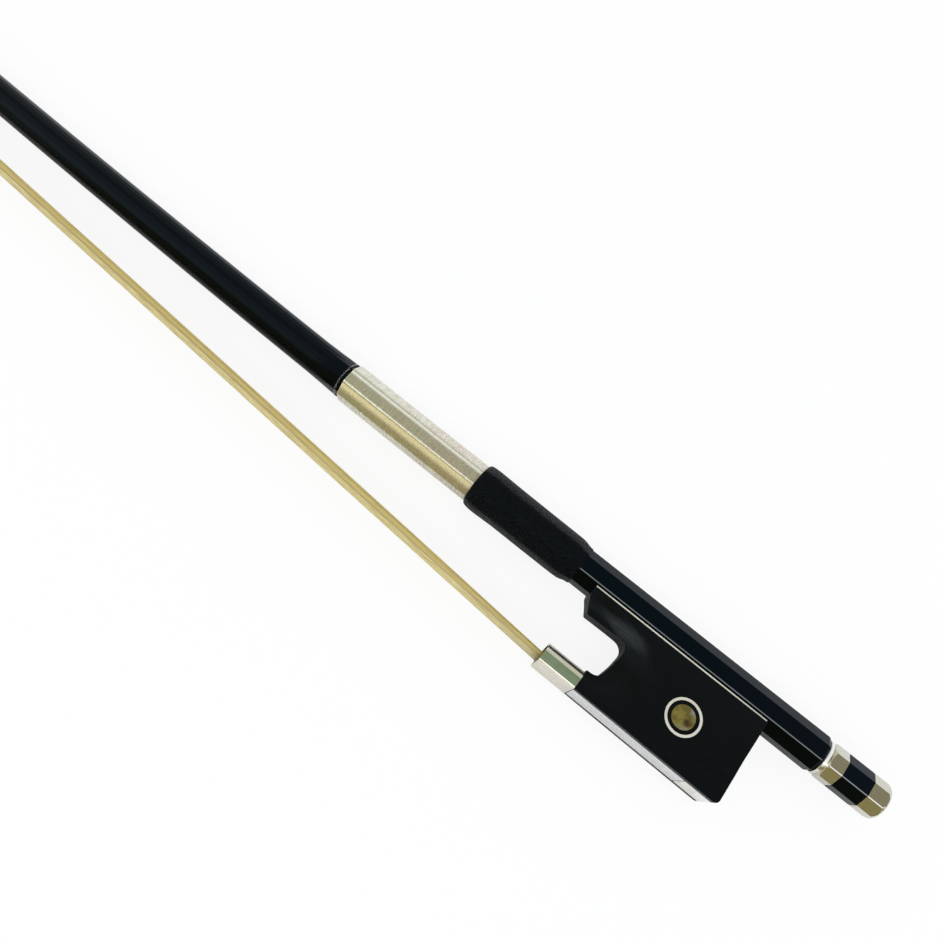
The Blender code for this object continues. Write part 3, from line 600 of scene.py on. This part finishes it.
# Hair: a packed core with loose strands along it, slack between the ferrule and the head
HAIR_FROM = -56.2
HAIR_TO = -709.2
HAIR_STEPS = 18
CORE_STEPS = 20
STRANDS = 190
STRAND_RADIUS = 0.095
WIDE_FROG, WIDE_HEAD = 11.2, 7.4
SLACK, SLACK_SHARE = 0.8, 0.07  # how much thicker mid-span, and over what share it loosens


def hair_point(x, across, through):
    """across is a share of the ribbon's width, and through is in millimetres at its ends."""
    share = max(-56.0 - x, 0.0) / (709.4 - 56.0)
    wide = WIDE_FROG + (WIDE_HEAD - WIDE_FROG) * share**1.6
    loose = 1.0 + SLACK * min(share / SLACK_SHARE, 1.0, (1.0 - share) / SLACK_SHARE)
    return at(x, hair_height(x) + through * loose, across * wide)


rng = random.Random(7)
work = bmesh.new()
section = []
for k in range(CORE_STEPS + 1):
    u = -0.47 + 0.94 * k / CORE_STEPS
    section.append((u, 0.38 * (1 - abs(2 * u) ** 6) + 0.03))
section += [(u, -v) for u, v in reversed(section)]
stops = [i / HAIR_STEPS for i in range(HAIR_STEPS + 1)]
rings = []
for share in stops:
    x = HAIR_FROM + (HAIR_TO - HAIR_FROM) * share
    rings.append([work.verts.new(hair_point(x, u, v)) for u, v in section])
skin(work, rings)
work.faces.new(rings[0])
work.faces.new(rings[-1])
for strand in range(STRANDS):
    side = 1 if strand % 2 else -1
    u = (strand / (STRANDS - 1.0) - 0.5) * 0.97
    v = side * (0.10 + 0.29 * max(0.0, 1.0 - abs(2 * u) ** 6))
    drift_u, drift_v = rng.uniform(-0.02, 0.02), rng.uniform(-0.05, 0.08)
    phase, waves = rng.uniform(0, 6.28), rng.uniform(1.0, 3.0)
    line = []
    for share in stops:
        x = HAIR_FROM + (HAIR_TO - HAIR_FROM) * share
        swing = math.sin(phase + waves * math.pi * share) * math.sin(math.pi * share) ** 0.5
        across = max(min(u + drift_u * swing, 0.488), -0.488)
        line.append(hair_point(x, across, v + drift_v * abs(swing)))
    add_tube(work, line, STRAND_RADIUS * MM, 4)
hair = from_bmesh("hair_strands", work, HAIR)
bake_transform(hair)
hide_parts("hair")

# Leather thumb grip: a wrapped sleeve, lapped at the back and pared thin in front of the frog
GRIP_PROFILE = (
    (-97.45, 5.15),
    (-97.5, 5.42),
    (-97.3, 5.68),
    (-96.8, 5.86),
    (-95.6, 5.99),
    (-93.6, 5.98),
    (-91.6, 5.90),
    (-89.0, 5.80),
    (-85.0, 5.77),
    (-80.0, 5.75),
    (-75.0, 5.71),
    (-71.0, 5.68),
    (-69.4, 5.62),
    (-68.6, 5.48),
    (-68.0, 5.28),
    (-67.4, 5.12),
    (-66.8, 5.04),
    (-66.3, 4.98),
    (-66.2, 4.82),
)
GRIP_ROUND = 64
GRIP_PARED = -69.0  # behind this the leather lies closer on the octagon
GRIP_THICK = 0.35
GRIP_LAP = 0.10
work = bmesh.new()
rings = []
for x, reach in GRIP_PROFILE:
    ring = []
    for k in range(GRIP_ROUND):
        angle = 360.0 * k / GRIP_ROUND
        off = (angle + 22.5) % 45.0 - 22.5
        flat = math.cos(math.radians(22.5)) / math.cos(math.radians(off))
        soft = 0.975 + (flat - 0.975) * (0.55 if x < GRIP_PARED else 0.8)
        lump = 0.03 * math.sin(math.radians(3 * angle) + x * 0.21)
        lump += 0.02 * math.sin(x * 0.9 + angle * 0.05)
        lap = GRIP_LAP if 196.0 < angle < 212.0 else 0.0
        radius = reach * soft + (lump + lap) * (1.0 if -96.5 < x < -68.5 else 0.2)
        turn = math.radians(angle)
        up = axis_height(x) + radius * math.cos(turn)
        ring.append(work.verts.new(at(x, up, radius * math.sin(turn))))
    rings.append(ring)
skin(work, rings)
grip = from_bmesh("leather_grip", work, LEATHER)
thick = grip.modifiers.new("thickness", "SOLIDIFY")
thick.thickness = GRIP_THICK * MM
thick.offset = -1.0
smooth = grip.modifiers.new("smooth", "SUBSURF")
smooth.levels = smooth.render_levels = 1
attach(grip, "stick")
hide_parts("thumb_leather")

# Bright lip of the metal lining, standing just above the frog's upper edges
LIP_RADIUS = 0.24
work = bmesh.new()
for side in (1, -1):
    line = [at(x, -2.72, side * 4.40) for x in (-60.9, -45.0, -30.0, -14.3)]
    add_tube(work, line, LIP_RADIUS * MM, 10)
lip = from_bmesh("lining_lip", work, RING)
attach(lip, "frog")

# Clear film over the winding, its cut end standing a little proud on the stick
FILM_ROUND = 48
FILM_END = ((-139.0, 4.58), (-139.05, 4.78), (-138.9, 4.86), (-138.75, 4.82), (-138.7, 4.60))
work = bmesh.new()
rings = []
for x, reach in FILM_END:
    ring = []
    for k in range(FILM_ROUND):
        turn = 2 * math.pi * k / FILM_ROUND
        up = axis_height(x) + reach * math.cos(turn)
        ring.append(work.verts.new(at(x, up, reach * math.sin(turn))))
    rings.append(ring)
skin(work, rings + rings[:1])
rim = from_bmesh("film_end", work, FILM)
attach(rim, "stick")

# Floor: the camera sees it nearly white, and it keeps the shadow
FLOOR_HALF = 3.0
FLOOR_DROP = 0.0006
corners = [(x * FLOOR_HALF, y * FLOOR_HALF, 0) for x, y in ((-1, -1), (1, -1), (1, 1), (-1, 1))]
floor_mesh = bpy.data.meshes.new("floor")
floor_mesh.from_pydata(corners, [], [(0, 1, 2, 3)])
floor = bpy.data.objects.new("floor", floor_mesh)
scene.collection.objects.link(floor)
floor.location.z = -FLOOR_DROP
paper = material("pale_floor", pale_floor)
tree = Nodes(paper.node_tree)
glow = tree.add("ShaderNodeEmission")
blend = tree.add("ShaderNodeMixShader")
seen = tree.add("ShaderNodeLightPath").outputs["Is Camera Ray"]
tree.put(blend.inputs[0], tree.math("MULTIPLY", seen, 0.86))
tree.put(blend.inputs[1], paper.node_tree.nodes["Principled BSDF"].outputs[0])
tree.put(blend.inputs[2], glow.outputs[0])
tree.put(paper.node_tree.nodes["Material Output"].inputs[0], blend.outputs[0])
floor_mesh.materials.append(paper)

# Studio: a plain white room for light, and one with soft bands where gloss reflects it
world = bpy.data.worlds.new("studio")
scene.world = world
world.use_nodes = True
sky = Nodes(world.node_tree)
for old in list(world.node_tree.nodes):
    world.node_tree.nodes.remove(old)
toward_x, toward_y, toward_z = sky.split(sky.add("ShaderNodeTexCoord").outputs["Generated"])
# Angle about the stick: 0 overhead, 90 beyond the stick's top, -90 on the hair's side
around = sky.math("MULTIPLY", sky.math("ARCTAN2", toward_y, toward_z), 180 / math.pi)
room = sky.ramp(
    sky.step_linear(around, -180.0, 180.0),
    (
        (-100, (0.80, 0.78, 0.72)),
        (-90, (0.34, 0.30, 0.14)),
        (-64, (0.30, 0.26, 0.11)),
        (-54, (0.55, 0.54, 0.40)),
        (-48, (0.94, 0.97, 0.95)),
        (-10, (0.90, 0.93, 0.92)),
        (2, (0.26, 0.24, 0.17)),
        (22, (0.32, 0.29, 0.21)),
        (38, (0.55, 0.56, 0.50)),
        (60, (0.80, 0.82, 0.78)),
        (80, (0.70, 0.74, 0.76)),
        (86, (0.40, 0.46, 0.50)),
        (90, (0.55, 0.60, 0.62)),
        (96, (0.95, 0.95, 0.95)),
    ),
)
# A green card that the ferrule mirrors, and a warm glow from beyond the head
green = sky.math("MULTIPLY", sky.step(toward_x, -0.12, 0.04), sky.step(toward_x, 0.26, 0.12))
green = sky.math("MULTIPLY", green, sky.step(around, 34.0, 24.0))
green = sky.math("MULTIPLY", green, sky.step(around, -10.0, 4.0))
room = sky.mix(green, room, (0.18, 0.29, 0.20))
warmth = sky.math("MULTIPLY", sky.step(toward_x, 0.05, -0.2), 0.4)
room = sky.mix(warmth, room, (0.72, 0.66, 0.46))
rays = sky.add("ShaderNodeLightPath").outputs
mirror = sky.math("ADD", rays["Is Glossy Ray"], rays["Is Transmission Ray"], clamp=True)
colour = sky.mix(mirror, (0.95, 0.96, 1.0), room)
colour = sky.mix(rays["Is Camera Ray"], colour, (1.0, 1.0, 1.0))
background = sky.add("ShaderNodeBackground")
sky.put(background.inputs[0], colour)
sky.put(background.inputs[1], 1.0)
sky.put(sky.add("ShaderNodeOutputWorld").inputs[0], background.outputs[0])


def axes_matrix(x_axis, y_axis, z_axis):
    return Matrix((x_axis, y_axis, z_axis)).transposed().to_4x4()


# A long strip over the stick on the hair's side draws the thin lines along its corners
STRIP_TILT = math.radians(33.0)
STRIP_FAR = 1.1
target = at(-150.0, 0, 0)
strip_at = target + Vector((0, -math.sin(STRIP_TILT), math.cos(STRIP_TILT))) * STRIP_FAR
lamp = bpy.data.lights.new("strip", "AREA")
lamp.shape = "RECTANGLE"
lamp.size, lamp.size_y = 2.6, 0.26
lamp.energy = 3.2
lamp.color = (0.93, 0.98, 1.0)
strip = bpy.data.objects.new("strip", lamp)
scene.collection.objects.link(strip)
toward = (target - strip_at).normalized()
along = Vector((1, 0, 0))
turn = axes_matrix(along, (-toward).cross(along), -toward)
strip.matrix_world = Matrix.Translation(strip_at) @ turn

# Camera: its place and axes were solved from the photo's outline
RIGHT = Vector((0.77575, 0.62558, 0.08277))
DOWN = Vector((0.61368, -0.71735, -0.32985))
AHEAD = Vector((-0.14697, 0.30667, -0.94040))
FOCAL_PIXELS = 849.03
FRAME_PIXELS = 945.0
camera_data = bpy.data.cameras.new("camera")
camera_data.sensor_width = 36.0
camera_data.lens = FOCAL_PIXELS / FRAME_PIXELS * 36.0
camera_data.clip_start = 0.005
camera = bpy.data.objects.new("camera", camera_data)
scene.collection.objects.link(camera)
camera_at = Matrix.Translation(at(-70.2156, -60.8444, 191.447))
camera.matrix_world = camera_at @ axes_matrix(RIGHT, -DOWN, -AHEAD)
scene.camera = camera
scene.view_settings.view_transform = "Standard"
